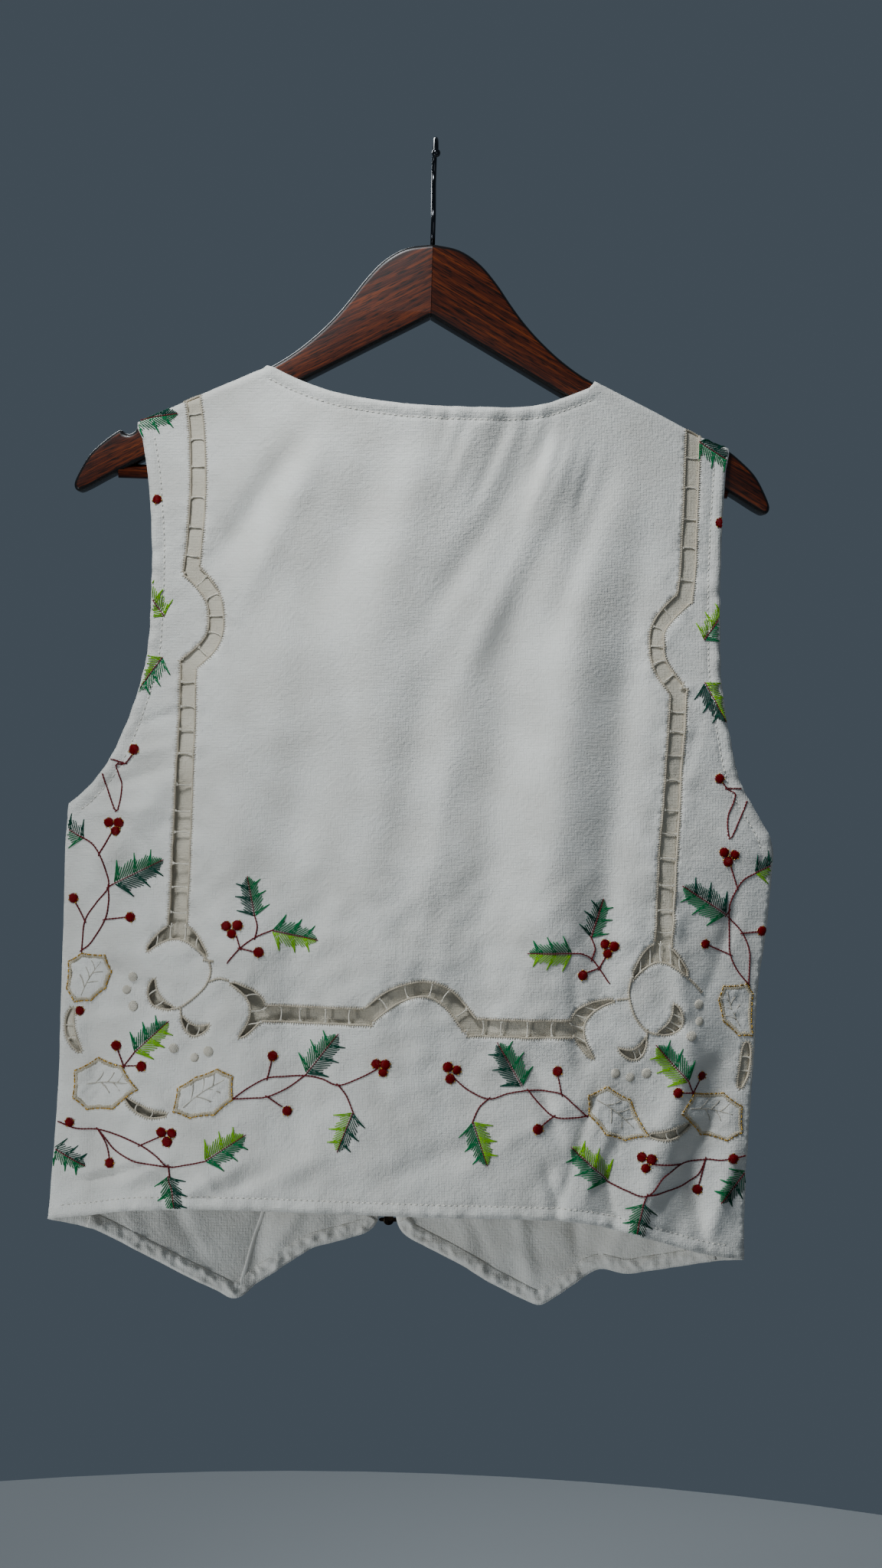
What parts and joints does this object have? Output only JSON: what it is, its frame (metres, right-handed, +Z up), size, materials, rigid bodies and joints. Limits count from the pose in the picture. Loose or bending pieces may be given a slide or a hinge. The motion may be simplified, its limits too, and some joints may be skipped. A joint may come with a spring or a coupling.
{
  "type": "waistcoat on a wooden hanger",
  "caption": "Sleeveless cotton waistcoat with cutwork ladders in its back and pointed fronts, hanging on a contoured wooden hanger with a wire hook.",
  "frame": {"origin": "inside of the hook's crown, where it bears on the rail that it hangs from", "axes": "+X along the hanger to the right as the waistcoat's back is seen, -Y out of the waistcoat's back, +Z up"},
  "size_m": [0.4552, 0.0776, 0.7431],
  "materials": {
    "cotton": "soft brushed cotton, ivory white",
    "bias_strip": "gathered cotton bias strip",
    "clasp": "blackened",
    "wood": "dark walnut stain, satin lacquer",
    "hook_wire": "black nickel"
  },
  "bodies": {
    "root": {"back_panel": "cotton", "front_left": "cotton", "front_right": "cotton", "front_facing_left": "bias_strip", "front_facing_right": "bias_strip", "front_clasp_1": "clasp", "front_clasp_2": "clasp", "front_clasp_3": "clasp", "front_clasp_4": "clasp", "hanger_arm_left": "wood", "hanger_arm_right": "wood", "trouser_bar": "wood", "hanger_hook": "hook_wire"}
  },
  "joints": []
}
